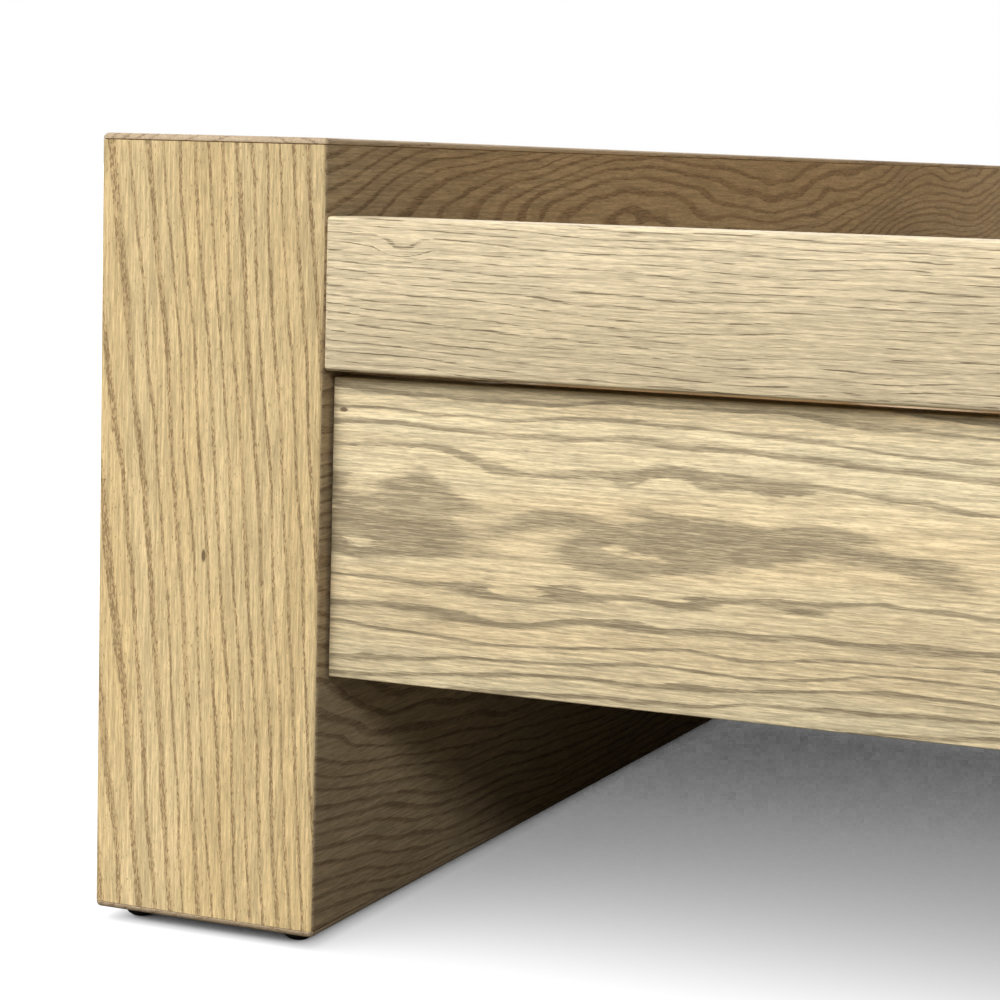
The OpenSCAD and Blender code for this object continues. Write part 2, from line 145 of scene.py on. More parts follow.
def oak(name, axes, heart, tone, seed=0.0, ring=4.5, taper=0.0, wander=14.0, ripple=2.2, ragged=0.7,
        spring_share=0.38, grey=0.6, vessel=(4.0, 0.45), depth=0.7, contrast=1.0, start=0.0, eye=None,
        pin=None):
    """Matt lacquered oak. axes names the board's grain, width and thickness directions, and heart is
    where the middle of the tree ran, in millimetres along the last two. Lengths are in millimetres,
    and start slides the whole figure along the grain."""
    g = Graph(name)
    split = g.node("SeparateXYZ", Vector=g.node("TexCoord").outputs["Object"]).outputs
    board = g.node("CombineXYZ", X=split[axes[0]], Y=split[axes[1]], Z=split[axes[2]]).outputs[0]
    board = g.node("Mapping", Vector=board, Scale=(1000, 1000, 1000),
                   Location=(-start, -heart[0], -heart[1])).outputs[0]

    def along_grain(length, width, detail, roughness, offset):
        stretched = g.scaled(board, (1 / length, 1 / width, 1 / width))
        return g.noise(stretched, detail, roughness, seed + offset)

    # Growth rings are cylinders round the heart, which bends and tapers along the trunk
    bend = along_grain(430, 110, 1.0, 0.4, 0).outputs["Color"]
    bend = g.node("VectorMath", {"operation": "MULTIPLY_ADD"}, i0=bend,
                  i1=(0, wander * 2, wander * 2), i2=(0, -wander, -wander)).outputs[0]
    bent = g.node("VectorMath", {"operation": "ADD"}, i0=board, i1=bend).outputs[0]
    radius = g.node("VectorMath", {"operation": "LENGTH"}, i0=g.scaled(bent, (0, 1, 1))).outputs["Value"]
    radius = g.maths("MULTIPLY_ADD", g.node("SeparateXYZ", Vector=board).outputs[0], taper, radius)
    radius = g.maths("MULTIPLY_ADD", along_grain(60, 16, 1.0, 0.5, 3).outputs[0], ripple * 2, radius)
    radius = g.maths("MULTIPLY_ADD", along_grain(14, 1.3, 2.0, 0.6, 5).outputs[0], ragged * 2, radius)
    if eye:
        # Rings lift over a small grown-over bud: its place along and across, its size and the lift
        along, across, size, lift = eye
        near = g.node("VectorMath", {"operation": "DISTANCE"}, i0=g.scaled(board, (1, 2, 0)),
                      i1=(along - start, (across - heart[0]) * 2, 0)).outputs["Value"]
        radius = g.maths("SUBTRACT", radius, g.ramp(near, 0.0, size, lift, 0.0))
    count = g.maths("DIVIDE", radius, ring)
    season = g.maths("FRACT", count)
    good_year = g.node("TexWhiteNoise", {"noise_dimensions": "1D"}, W=g.maths("FLOOR", count)).outputs[0]
    spring_end = g.maths("MULTIPLY_ADD", good_year, spring_share * 0.8, spring_share * 0.6)
    spring = g.node("MapRange", {"interpolation_type": "SMOOTHSTEP"}, i0=season,
                    i1=g.maths("MULTIPLY", spring_end, 0.5), i2=spring_end, i3=1.0, i4=0.0).outputs[0]
    spring = g.maths("MAXIMUM", spring, g.ramp(season, 0.95, 1.0))

    # Vessels are open grooves along the grain, crowded in the spring wood
    crowding = along_grain(45, 7, 1.0, 0.5, 19).outputs[0]
    crowding = g.maths("MULTIPLY", spring, g.ramp(crowding, 0.3, 0.6, 0.10, 0.20))
    pores = along_grain(vessel[0], vessel[1], 1.0, 0.5, 7).outputs[0]
    groove = g.ramp(g.maths("ADD", pores, crowding), 0.66, 0.74)

    # Colour: pale and warm patches, greyer spring wood, fine streaks, dark grooves
    pale, warm, early, dark = (tuple(c) + (1,) for c in tone)
    patch = along_grain(240, 26, 2.0, 0.5, 11).outputs[0]
    colour = g.blend(g.ramp(patch, 0.32, 0.68), pale, warm)
    colour = g.blend(g.maths("MULTIPLY", spring, grey), colour, early)
    streak = along_grain(30, 1.1, 2.0, 0.6, 13).outputs[0]
    fibre = along_grain(7, 0.5, 2.0, 0.7, 17).outputs[0]
    light = g.maths("MULTIPLY", g.ramp(streak, 0.3, 0.7, 1 - 0.13 * contrast, 1 + 0.10 * contrast),
                    g.ramp(fibre, 0.3, 0.7, 1 - 0.12 * contrast, 1 + 0.10 * contrast))
    colour = g.blend(1.0, colour, light, "MULTIPLY")
    colour = g.blend(g.maths("MULTIPLY", groove, depth), colour, dark)
    if pin:
        # A pin knot: its place along and across, its length and its breadth
        along, across, length, breadth = pin
        centre = ((along - start) / length, (across - heart[0]) / breadth, 0)
        off = g.node("VectorMath", {"operation": "DISTANCE"}, i1=centre,
                     i0=g.scaled(board, (1 / length, 1 / breadth, 0))).outputs["Value"]
        colour = g.blend(g.ramp(off, 0.25, 0.5, 0.85, 0.0), colour, (0.10, 0.06, 0.03, 1))
    g.feed(g.shader.inputs["Base Color"], colour)

    height = g.maths("MULTIPLY_ADD", groove, -1.0, g.maths("MULTIPLY", fibre, 0.7))
    bump = g.node("Bump", Strength=0.4, Distance=0.0003, Height=height)
    g.feed(g.shader.inputs["Normal"], bump.outputs[0])
    g.feed(g.shader.inputs["Roughness"], g.ramp(streak, 0.2, 0.8, 0.50, 0.62))
    g.shader.inputs["Specular IOR Level"].default_value = 0.2
    return g.material


# Tones of a board: pale and warm summer wood, spring wood, and the bottom of its grooves
TAN_OAK = ((0.665, 0.508, 0.272), (0.635, 0.47, 0.235), (0.48, 0.34, 0.17), (0.23, 0.145, 0.065))
# A darker copy of the tan oak for the inner panels, which face into the bed: painted shade
SHADED_INNER_OAK = ((0.45, 0.35, 0.215), (0.42, 0.315, 0.187), (0.30, 0.21, 0.12), (0.12, 0.075, 0.045))
STRAW_OAK = ((0.676, 0.561, 0.373), (0.637, 0.526, 0.34), (0.49, 0.4, 0.255), (0.147, 0.112, 0.066))
SAND_OAK = ((0.67, 0.567, 0.362), (0.688, 0.548, 0.33), (0.404, 0.327, 0.203), (0.21, 0.161, 0.095))
ROSY_OAK = ((0.466, 0.359, 0.234), (0.432, 0.325, 0.206), (0.364, 0.261, 0.157), (0.164, 0.099, 0.06))


def glue_line(bm, facing):
    """Turns a lipping's mating face into a step, so that a thin dark line runs round under its edge."""
    mating = [f for f in bm.faces if f.normal.z * facing > 0.99 and f.calc_area() > 0.05]
    bmesh.ops.inset_region(bm, faces=mating, thickness=GLUE_LINE_DEPTH, use_even_offset=True)
    rim = list({v for f in mating for v in f.verts})
    bmesh.ops.translate(bm, vec=(0, 0, facing * GLUE_LINE), verts=rim)


def slab(end, direction):
    """All six boards of a slab. direction is -1 for the foot and 1 for the head."""
    outer_low, outer_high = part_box(f"{end}_outer_panel")
    top_low, top_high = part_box(f"{end}_top_cap")
    bottom_low, bottom_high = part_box(f"{end}_bottom_cap")
    low, high = bottom_low, top_high
    board_t = outer_high.y - outer_low.y
    mid_y = (low.y + high.y) / 2
    half_t = (high.y - low.y) / 2
    whole = sawn_block(low, high)
    ease(whole, whole.edges[:], SLAB_EASING)

    def board(part, cuts, material, lipping=0):
        bm = whole.copy()
        for point, normal in cuts:
            saw(bm, Vector(point), Vector(normal))
        bm.normal_update()
        if lipping:
            glue_line(bm, lipping)
        finish_mesh(bm, f"oak_{end}_{part}", material, "bed_frame", "oak", f"{end}_{part}")

    between_lippings = [((0, 0, top_low.z), (0, 0, 1)), ((0, 0, bottom_high.z), (0, 0, -1))]
    ends = (("right", high.x, 1), ("left", low.x, -1))
    faces = (("inner_panel", -direction), ("outer_panel", direction))
    for part, face in faces:
        face_y = mid_y + face * half_t
        cuts = between_lippings + [((0, face_y - face * board_t, 0), (0, -face, 0))]
        for side, x, out in ends:
            cuts.append(((x - out * MITRE_JOINT, face_y, 0), (out, -face, 0)))
        heart = (low.z / MM + 260, face_y / MM - face * 20)
        # The inner panels' darker tone is painted shade, on the same grain as the outer panels
        tone = SHADED_INNER_OAK if part == "inner_panel" else TAN_OAK
        material = oak(f"oak {end} {part.replace('_', ' ')}", ("X", "Z", "Y"), heart, tone,
                       4.3 + face + 2 * direction, ring=6.5, taper=0.10, wander=70.0, ripple=5.0,
                       ragged=0.6, grey=0.7, vessel=(8, 0.4), depth=0.5, contrast=1.5)
        board(part, cuts, material)
    for side, x, out in ends:
        cuts = between_lippings + [((x - out * board_t, 0, 0), (-out, 0, 0))]
        for part, face in faces:
            cuts.append(((x - out * MITRE_JOINT, mid_y + face * half_t, 0), (-out, face, 0)))
        heart = (low.y / MM - 42, x / MM - out * 60)
        knot = (low.z / MM + 166, low.y / MM + 54, 7.5, 2.8)
        material = oak(f"oak {end} end {side}", ("Z", "Y", "X"), heart, TAN_OAK,
                       18.1 + out + 2 * direction, ring=6.0, taper=0.06, wander=12.0, ripple=2.0,
                       ragged=0.6, spring_share=0.32, grey=0.8, vessel=(2.2, 0.45), depth=0.75,
                       contrast=1.6, pin=knot if (end, side) == ("foot", "right") else None)
        board(f"end_{side}", cuts, material)
    for part, z, facing in (("top_cap", top_low.z, -1), ("bottom_cap", bottom_high.z, 1)):
        heart = (mid_y / MM + 15, z / MM - 70)
        material = oak(f"oak {end} {part.replace('_', ' ')}", ("X", "Y", "Z"), heart, ROSY_OAK,
                       4.4 + facing + direction, ring=4.5, taper=0.02, wander=9.0, grey=0.4)
        board(part, [((0, 0, z - facing * GLUE_LINE), (0, 0, facing))], material, facing)
    whole.free()


slab("foot", -1)
slab("head", 1)

# ---- Core frames inside the slabs ----------------------------------------------------------
# A pine ladder frame fills each slab: posts, studs and battens glued into one piece, with the
# shell boards glued on around it. Knotty furniture pine, planed and left bare.


def copy_of(node):
    """The node's shape as one clean mesh, its flat faces whole again."""
    bm = bmesh.new()
    bm.from_mesh(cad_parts[node].data)
    bmesh.ops.remove_doubles(bm, verts=bm.verts, dist=0.001 * MM)
    bmesh.ops.dissolve_limit(bm, angle_limit=math.radians(1), verts=bm.verts, edges=bm.edges)
    return bm


def corners_of(group):
    """The lowest and highest corner round some vertices."""
    low = Vector([min(v.co[i] for v in group) for i in range(3)])
    high = Vector([max(v.co[i] for v in group) for i in range(3)])
    return low, high


def middle_of(group):
    low, high = corners_of(group)
    return (low + high) / 2


def separate_solids(bm):
    """The vertices of each loose solid, in order along X, Y and Z."""
    groups = []
    waiting = set(bm.verts)
    while waiting:
        group = [waiting.pop()]
        for vertex in group:
            for edge in vertex.link_edges:
                other = edge.other_vert(vertex)
                if other in waiting:
                    waiting.remove(other)
                    group.append(other)
        groups.append(group)
    return sorted(groups, key=lambda group: tuple(round(v, 4) for v in middle_of(group)))


def note_middles(bm):
    """Stores each solid's middle on its vertices, so that every board shows its own grain."""
    layer = bm.verts.layers.float_vector.new("middle")
    for group in separate_solids(bm):
        middle = middle_of(group)
        for vertex in group:
            vertex[layer] = middle


def straight_arrises(bm, shortest):
    """The outer edges of planed faces, without the short ones that go round a hole."""
    return [e for e in bm.edges if e.calc_length() > shortest and e.is_convex
            and e.calc_face_angle(0) > math.radians(50)]


def pine(name, axes, seed, heart=(8, -34), ring=3.4):
    """Planed bare pine. axes names the boards' grain, width and thickness directions; heart is where
    the middle of the tree ran, in millimetres from the middle of each board."""
    g = Graph(name)
    middle = g.node("Attribute", {"attribute_name": "middle"}).outputs["Vector"]
    place = g.node("TexCoord").outputs["Object"]
    place = g.node("VectorMath", {"operation": "SUBTRACT"}, i0=place, i1=middle).outputs[0]
    split = g.node("SeparateXYZ", Vector=place).outputs
    board = g.node("CombineXYZ", X=split[axes[0]], Y=split[axes[1]], Z=split[axes[2]]).outputs[0]
    board = g.scaled(board, (1000, 1000, 1000))
    other = g.node("VectorMath", {"operation": "DOT_PRODUCT"}, i0=middle, i1=(7.3, 11.7, 5.9))
    other = g.maths("ADD", other.outputs["Value"], seed)

    def along_grain(length, width, detail, offset):
        stretched = g.scaled(board, (1 / length, 1 / width, 1 / width))
        return g.noise(stretched, detail, 0.5, g.maths("ADD", other, offset))

    bend = along_grain(520, 130, 1.0, 0).outputs["Color"]
    bend = g.node("VectorMath", {"operation": "MULTIPLY_ADD"}, i0=bend, i1=(0, 60, 44),
                  i2=(0, -30 - heart[0], -22 - heart[1])).outputs[0]
    bent = g.node("VectorMath", {"operation": "ADD"}, i0=board, i1=bend).outputs[0]
    radius = g.node("VectorMath", {"operation": "LENGTH"}, i0=g.scaled(bent, (0, 1, 1))).outputs["Value"]
    radius = g.maths("MULTIPLY_ADD", along_grain(90, 20, 1.0, 3).outputs[0], 5.0, radius)

    # Branches show as dark ovals that push the rings aside
    whorls = g.scaled(board, (1 / 260, 1 / 120, 1 / 120))
    branch = g.node("TexVoronoi", {"voronoi_dimensions": "4D"}, Vector=whorls,
                    W=other, Scale=1.0, Randomness=1.0).outputs["Distance"]
    radius = g.maths("ADD", radius, g.ramp(branch, 0.0, 0.24, 9.0, 0.0))
    season = g.maths("FRACT", g.maths("DIVIDE", radius, ring))
    summer = g.maths("MULTIPLY", g.ramp(season, 0.35, 0.92), g.ramp(season, 0.94, 1.0, 1.0, 0.0))
    fibre = along_grain(26, 0.7, 2.0, 7).outputs[0]
    colour = g.blend(g.ramp(along_grain(300, 40, 1.0, 9).outputs[0], 0.3, 0.7),
                     (0.80, 0.63, 0.38, 1), (0.74, 0.55, 0.31, 1))
    colour = g.blend(g.maths("MULTIPLY", summer, 0.62), colour, (0.60, 0.36, 0.15, 1))
    colour = g.blend(1.0, colour, g.ramp(fibre, 0.25, 0.75, 0.90, 1.08), "MULTIPLY")
    knot = g.ramp(branch, 0.045, 0.075, 0.85, 0.0)
    colour = g.blend(knot, colour, (0.22, 0.10, 0.04, 1))
    g.feed(g.shader.inputs["Base Color"], colour)
    height = g.maths("MULTIPLY_ADD", summer, 0.8, fibre)
    bump = g.node("Bump", Strength=0.3, Distance=0.0002, Height=height)
    g.feed(g.shader.inputs["Normal"], bump.outputs[0])
    g.feed(g.shader.inputs["Roughness"], g.ramp(fibre, 0.2, 0.8, 0.62, 0.74))
    return g.material


for end in ("foot", "head"):
    bm = copy_of(f"{end}_core")
    ease(bm, straight_arrises(bm, 12 * MM), 1.0 * MM, 2)
    note_middles(bm)
    material = pine(f"pine {end} core", ("Z", "X", "Y"), 2.0 if end == "foot" else 6.0, ring=3.8)
    finish_mesh(bm, f"pine_{end}_core", material, "bed_frame", "pine", f"{end}_core")

# ---- Glides --------------------------------------------------------------------------------
# Black moulded nylon domes, each on a steel-hard nail hammered up into the wood. Their crowns
# are worn flat where they stand. Slabs, divider and centre legs all stand on them.

GLIDE_SKIRT = 1.2 * MM

g = Graph("black nylon")
place = g.node("TexCoord").outputs["Object"]
speckle = g.noise(g.scaled(place, (900, 900, 900)), 3.0, 0.6, 1.0).outputs[0]
g.feed(g.shader.inputs["Base Color"], g.blend(g.ramp(speckle, 0.3, 0.7), (0.016, 0.016, 0.017, 1),
                                              (0.034, 0.033, 0.032, 1)))
g.feed(g.shader.inputs["Roughness"], g.ramp(speckle, 0.2, 0.8, 0.38, 0.52))
scuffs = g.node("Bump", Strength=0.25, Distance=0.0001, Height=speckle)
g.feed(g.shader.inputs["Normal"], scuffs.outputs[0])
BLACK_NYLON = g.material


def turned(bm, outline, foot, steps):
    """Turns an outline of (radius, height) points about an upright axis through foot."""
    made = [bm.verts.new(foot + Vector((radius, 0, height))) for radius, height in outline]
    edges = [bm.edges.new(pair) for pair in zip(made, made[1:])]
    bmesh.ops.spin(bm, geom=made + edges, cent=foot, axis=(0, 0, 1), angle=math.tau, steps=steps,
                   use_merge=True, use_normal_flip=False)


source = copy_of("floor_glides")
bm = bmesh.new()
for group in separate_solids(source):
    low, high = corners_of(group)
    middle = (low + high) / 2
    dome_r = (high.x - low.x) / 2
    nail = [v for v in group if v.co.z > high.z - MM]
    nail_r = max(abs(v.co.x - middle.x) for v in nail)
    wood_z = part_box("foot_bottom_cap")[0].z
    rim = dome_r - 0.25 * MM
    outline = [(0, 0), (0.34 * rim, 0), (0.60 * rim, 0.10 * wood_z), (0.82 * rim, 0.29 * wood_z),
               (0.95 * rim, 0.53 * wood_z), (rim, wood_z - GLIDE_SKIRT), (rim - 0.2 * MM, wood_z),
               (nail_r, wood_z), (nail_r, high.z - 2 * MM), (0, high.z)]
    turned(bm, outline, Vector((middle.x, middle.y, 0)), 28)
source.free()
bmesh.ops.remove_doubles(bm, verts=bm.verts, dist=0.002 * MM)
finish_mesh(bm, "floor_glides_nylon", BLACK_NYLON, "bed_frame", "black_nylon", "floor_glides", smooth=40)

# ---- Side rails ----------------------------------------------------------------------------
# One oak board down each side, flush with the ends of the slabs, with its edges eased by hand.
# Its ends butt against the slabs and leave a hairline gap.

RAIL_EASING = 1.6 * MM

for side, out in (("right", 1), ("left", -1)):
    low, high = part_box(f"{side}_rail")
    bm = sawn_block(low, high)
    ease(bm, bm.edges[:], RAIL_EASING)
    face_x = high.x if out > 0 else low.x
    bud = (low.y / MM + 36, high.z / MM - 14, 16, -3.2)
    heart = (low.z / MM - 45, face_x / MM - out * 50)
    material = oak(f"oak {side} rail", ("Y", "Z", "X"), heart, STRAW_OAK, 3.2 + out, ring=3.3,
                   taper=0.01, wander=16.0, ripple=3.0, ragged=0.45, spring_share=0.22, grey=0.45,
                   vessel=(14, 0.32), depth=0.8, contrast=1.5, eye=bud)
    finish_mesh(bm, f"oak_{side}_rail", material, "bed_frame", "oak", f"{side}_rail")

# ---- Ledgers -------------------------------------------------------------------------------
# A pine batten glued and clamped along each rail's inner face. The slats lie on it, and a long
# screw in its middle goes down into the divider.

for side, seed in (("right", 11.0), ("left", 14.0)):
    bm = copy_of(f"{side}_ledger")
    ease(bm, straight_arrises(bm, 10 * MM), 1.5 * MM)
    note_middles(bm)
    material = pine(f"pine {side} ledger", ("Y", "X", "Z"), seed)
    finish_mesh(bm, f"pine_{side}_ledger", material, "bed_frame", "pine", f"{side}_ledger")

# ---- Corner brackets, bolts and their screws -----------------------------------------------
# Pressed steel angles, bright zinc plated. Each is screwed to a rail and pulled up to the slab
# by two socket-head bolts, which turn into brass inserts in the slab.

BRACKET_BEND = 30 * MM


def metal(name, light, dark, roughness, axis):
    """Plated or machined metal: drawn lines along axis, and a faint mottle in its shine."""
    g = Graph(name)
    place = g.node("TexCoord").outputs["Object"]
    lines = [2500.0, 2500.0, 2500.0]
    lines["XYZ".index(axis)] = 30.0
    drawn = g.noise(g.scaled(place, lines), 2.0, 0.6, 2.0).outputs[0]
    mottle = g.noise(g.scaled(place, (140, 140, 140)), 3.0, 0.6, 4.0).outputs[0]
    g.feed(g.shader.inputs["Base Color"], g.blend(g.ramp(mottle, 0.3, 0.7), light, dark))
    shine = g.maths("MULTIPLY_ADD", drawn, 0.5, mottle)
    g.feed(g.shader.inputs["Roughness"], g.ramp(shine, 0.4, 1.1, roughness - 0.08, roughness + 0.1))
    g.shader.inputs["Metallic"].default_value = 1.0
    bump = g.node("Bump", Strength=0.12, Distance=0.00005, Height=drawn)
    g.feed(g.shader.inputs["Normal"], bump.outputs[0])
    return g.material


BRIGHT_ZINC = metal("bright zinc plate", (0.72, 0.73, 0.75, 1), (0.58, 0.60, 0.63, 1), 0.34, "Z")
BRASS = metal("machined brass", (0.80, 0.62, 0.28, 1), (0.66, 0.48, 0.20, 1), 0.28, "Y")

bm = copy_of("corner_brackets")
bends = [e for e in straight_arrises(bm, BRACKET_BEND)
         if abs(e.verts[0].co.z - e.verts[1].co.z) > BRACKET_BEND
         and min(abs(abs(v.co.x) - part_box("right_ledger")[1].x) for v in e.verts) < MM
         and min(abs(abs(v.co.y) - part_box("head_inner_panel")[0].y) for v in e.verts) < MM]
ease(bm, bends, 3.5 * MM, 5)
ease(bm, straight_arrises(bm, 3 * MM), 0.5 * MM, 2)
finish_mesh(bm, "steel_corner_brackets", BRIGHT_ZINC, "bed_frame", "zinc_steel", "corner_brackets")


def sharp_rims(bm, least_radius_edge):
    """The sharp outer edges that run round turned heads."""
    return [e for e in bm.edges if e.is_convex and e.calc_face_angle(0) > math.radians(60)
            and e.calc_length() > least_radius_edge]


for node, name, material, slot, easing in (
        ("slab_bolts", "steel_slab_bolts", BRIGHT_ZINC, "zinc_steel", 0.45 * MM),
        ("threaded_inserts", "brass_threaded_inserts", BRASS, "brass", 0.3 * MM),
        ("bracket_screws", "steel_bracket_screws", BRIGHT_ZINC, "zinc_steel", 0.35 * MM)):
    bm = copy_of(node)
    ease(bm, sharp_rims(bm, 0.5 * MM), easing, 2)
    finish_mesh(bm, name, material, "bed_frame", slot, node)

# ---- Centre beam, its hangers and legs -----------------------------------------------------
# A pine beam down the middle of the bed, dropped into a folded steel hanger on each slab and
# propped by two square pine legs.

bm = sawn_block(*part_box("centre_beam"))
ease(bm, bm.edges[:], 2.0 * MM)
note_middles(bm)
material = pine("pine centre beam", ("Y", "X", "Z"), 21.0)
finish_mesh(bm, "pine_centre_beam", material, "bed_frame", "pine", "centre_beam")

bm = copy_of("beam_hangers")
ease(bm, straight_arrises(bm, 2.5 * MM), 0.6 * MM, 2)
finish_mesh(bm, "steel_beam_hangers", BRIGHT_ZINC, "bed_frame", "zinc_steel", "beam_hangers")

bm = copy_of("centre_legs")
ease(bm, straight_arrises(bm, 20 * MM), 2.5 * MM)
note_middles(bm)
material = pine("pine centre legs", ("Z", "X", "Y"), 24.0)
finish_mesh(bm, "pine_centre_legs", material, "bed_frame", "pine", "centre_legs")

# ---- Divider -------------------------------------------------------------------------------
# One birch plywood board across the bed under the deck, with two arches cut out of its lower
# edge and a notch for the beam. The drawers' inner runners are screwed to it.

ARCH_CORNER = 24 * MM


def birch_ply(name, axes, low, high, seed):
    """Lacquered birch plywood. axes names the face grain, the width and the thickness directions of a
    board between low and high; its plies show on every cut edge."""
    g = Graph(name)
    split = g.node("SeparateXYZ", Vector=g.node("TexCoord").outputs["Object"]).outputs
    board = g.node("CombineXYZ", X=split[axes[0]], Y=split[axes[1]], Z=split[axes[2]]).outputs[0]
    board = g.scaled(board, (1000, 1000, 1000))

    def along_grain(length, width, depth, detail, offset):
        stretched = g.scaled(board, (1 / length, 1 / width, 1 / depth))
        return g.noise(stretched, detail, 0.5, seed + offset)

    # Rotary-cut face veneer: broad soft flames and short brown flecks
    flame = along_grain(260, 22, 2.0, 1.0, 1).outputs[0]
    flame = g.maths("FRACT", g.maths("MULTIPLY", flame, 9.0))
    flame = g.maths("MULTIPLY", g.ramp(flame, 0.0, 0.7), g.ramp(flame, 0.8, 1.0, 1.0, 0.0))
    fleck = g.ramp(along_grain(5, 0.5, 0.5, 1.0, 3).outputs[0], 0.66, 0.74)
    fibre = along_grain(24, 0.9, 0.9, 2.0, 5).outputs[0]
    veneer = g.blend(g.maths("MULTIPLY", flame, 0.5), (0.80, 0.68, 0.50, 1), (0.70, 0.55, 0.36, 1))
    veneer = g.blend(1.0, veneer, g.ramp(fibre, 0.25, 0.75, 0.93, 1.06), "MULTIPLY")
    veneer = g.blend(g.maths("MULTIPLY", fleck, 0.35), veneer, (0.42, 0.27, 0.14, 1))

    # Cut edges: an odd number of plies, every second one showing its darker end grain
    axis = "XYZ".index(axes[2])
    thickness = (high[axis] - low[axis]) / MM
    plies = 2 * round((thickness / 1.4 - 1) / 2) + 1
    across = g.node("MapRange", {"clamp": True}, i0=split[axes[2]], i1=low[axis], i2=high[axis],
                    i3=0.02, i4=plies - 0.02).outputs[0]
    ply = g.maths("PINGPONG", across, 1.0)
    crossed = g.maths("MODULO", g.maths("FLOOR", across), 2.0)
    glue = g.ramp(ply, 0.0, 0.10, 1.0, 0.0)
    glue = g.maths("MAXIMUM", glue, g.ramp(ply, 0.90, 1.0))
    inside = g.maths("MULTIPLY", g.ramp(across, 0.3, 0.5),
                     g.ramp(across, plies - 0.5, plies - 0.3, 1.0, 0.0))
    grit = g.noise(g.scaled(board, (2.2, 2.2, 2.2)), 1.0, 0.5, seed + 7).outputs[0]
    colour = g.blend(g.maths("MULTIPLY", crossed, 0.8), veneer,
                     g.blend(g.ramp(grit, 0.3, 0.7), (0.55, 0.38, 0.21, 1), (0.42, 0.27, 0.14, 1)))
    glue = g.maths("MULTIPLY", g.maths("MULTIPLY", glue, inside), 0.55)
    colour = g.blend(glue, colour, (0.24, 0.13, 0.06, 1))
    g.feed(g.shader.inputs["Base Color"], colour)
    height = g.maths("MULTIPLY_ADD", crossed, -1.0, fibre)
    bump = g.node("Bump", Strength=0.25, Distance=0.0001, Height=height)
    g.feed(g.shader.inputs["Normal"], bump.outputs[0])
    g.feed(g.shader.inputs["Roughness"], g.ramp(fibre, 0.2, 0.8, 0.42, 0.55))
    return g.material


low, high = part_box("divider")
bm = copy_of("divider")
arch_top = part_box("floor_glides")[0].z + 30 * MM
corners = [e for e in bm.edges if not e.is_convex and abs(e.verts[0].co.y - e.verts[1].co.y) > 20 * MM
           and arch_top < e.verts[0].co.z < (low.z + high.z) / 2]
ease(bm, corners, ARCH_CORNER, 8)
ease(bm, straight_arrises(bm, 6 * MM), 1.0 * MM, 2)
material = birch_ply("birch divider", ("X", "Z", "Y"), low, high, 3.0)
finish_mesh(bm, "birch_divider", material, "bed_frame", "birch_plywood", "divider")

# ---- Slats ---------------------------------------------------------------------------------
# Planed pine slats laid across the ledgers and the beam, each held at both ends by one
# countersunk screw.

bm = copy_of("slats")
ease(bm, straight_arrises(bm, 10 * MM), 2.2 * MM)
note_middles(bm)
material = pine("pine slats", ("X", "Y", "Z"), 31.0, heart=(14, -40))
finish_mesh(bm, "pine_slats", material, "bed_frame", "pine", "slats")

bm = copy_of("deck_screws")
finish_mesh(bm, "steel_deck_screws", BRIGHT_ZINC, "bed_frame", "zinc_steel", "deck_screws", smooth=30)

# ---- Drawer runners ------------------------------------------------------------------------
# Ball-bearing runners in three rolled steel members: one screwed to the slab or the divider,
# one to the drawer's side, and one between them. Their flanges are rolled round the balls.

OUTER_WALL = 1.5 * MM
MID_WALL = 1.2 * MM
RUNNER_ZINC = metal("rolled runner steel", (0.74, 0.75, 0.77, 1), (0.62, 0.64, 0.66, 1), 0.30, "X")


def rolled_member(bm, low, high, web, wall):
    """A C-shaped strip along X with its web on one side, its bends and flange edges rounded."""
    web_y = low.y if web < 0 else high.y
    free_y = high.y if web < 0 else low.y
    inward = 1 if web < 0 else -1
    web_face = web_y + inward * wall
    section = [(web_y, low.z), (free_y, low.z), (free_y, low.z + wall), (web_face, low.z + wall),
               (web_face, high.z - wall), (free_y, high.z - wall), (free_y, high.z), (web_y, high.z)]
    made = [bm.verts.new((low.x, y, z)) for y, z in section]
    face = bm.faces.new(made)
    grown = bmesh.ops.extrude_face_region(bm, geom=[face])
    far = [v for v in grown["geom"] if isinstance(v, bmesh.types.BMVert)]
    bmesh.ops.translate(bm, vec=(high.x - low.x, 0, 0), verts=far)
    lengths = [e for v in made for e in v.link_edges if abs(e.verts[0].co.x - e.verts[1].co.x) > MM]
    bends = [e for e in set(lengths) if abs(e.verts[0].co.y - web_y) < 0.01 * MM]
    ease(bm, bends, 1.4 * wall, 4)


def runner_pieces(node, wall):
    """Finds each member in a node and which side its web is on, and rolls it anew."""
    source = copy_of(node)
    bm = bmesh.new()
    for group in separate_solids(source):
        low, high = corners_of(group)
        inner = [v.co.y for v in group if low.z + 0.5 * wall < v.co.z < high.z - 0.5 * wall]
        near_low = sum(1 for y in inner if y < (low.y + high.y) / 2)
        web = -1 if near_low > len(inner) / 2 else 1
        rolled_member(bm, low, high, web, wall)
    source.free()
    bmesh.ops.recalc_face_normals(bm, faces=bm.faces)
    ends = [e for e in bm.edges if e.is_convex and e.calc_face_angle(0) > math.radians(60)
            and e.calc_length() > 0.5 * MM]
    ease(bm, ends, 0.25 * MM, 1)
    return bm


finish_mesh(runner_pieces("fixed_runners", OUTER_WALL), "steel_fixed_runners", RUNNER_ZINC, "bed_frame",
            "zinc_steel", "fixed_runners")
for side in ("right", "left"):
    for end in ("foot", "head"):
        drawer = f"{side}_{end}"
        for part, body, wall in (("mid_runners", f"{drawer}_mid_runners", MID_WALL),
                                 ("drawer_runners", f"{drawer}_drawer", OUTER_WALL)):
            node = f"{drawer}_{part}"
            finish_mesh(runner_pieces(node, wall), f"steel_{node}", RUNNER_ZINC, body, "zinc_steel", node)

# ---- Drawer boxes --------------------------------------------------------------------------
# Birch plywood, lacquered: two sides that run from the front to the back, a back between them,
# and a thin bottom slid into grooves. Top edges are rounded over.

